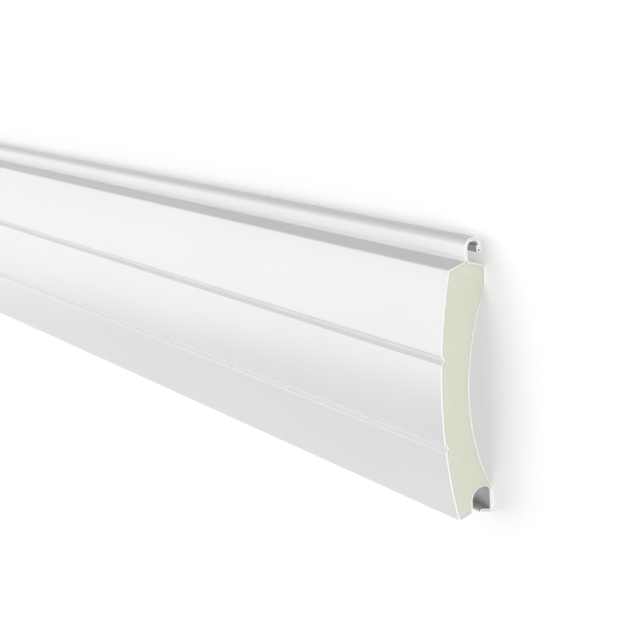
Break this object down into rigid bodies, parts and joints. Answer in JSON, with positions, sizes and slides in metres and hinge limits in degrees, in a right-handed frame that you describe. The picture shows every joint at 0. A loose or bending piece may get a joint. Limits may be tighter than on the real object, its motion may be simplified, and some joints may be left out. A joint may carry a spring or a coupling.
{
  "type": "roller shutter slat",
  "caption": "Foam-filled roller shutter slat folded from one aluminium strip, with a hook along its top edge and a channel along its bottom edge for the next slats.",
  "frame": {"origin": "centre of the slat as it lies on its back, on the plane of its two flat back strips", "axes": "+X along the length, +Y from the channel up to the hook as the slat hangs in its curtain, +Z from the back out to the bowed front"},
  "size_m": [1, 0.0832, 0.0186],
  "materials": {
    "lacquered_skin": "smooth white stove-enamel lacquer with a satin sheen",
    "foam": "fine closed-cell foam, sawn flush, pale cream"
  },
  "bodies": {
    "root": {"aluminium_skin": "lacquered_skin", "foam_core": "foam"}
  },
  "joints": []
}
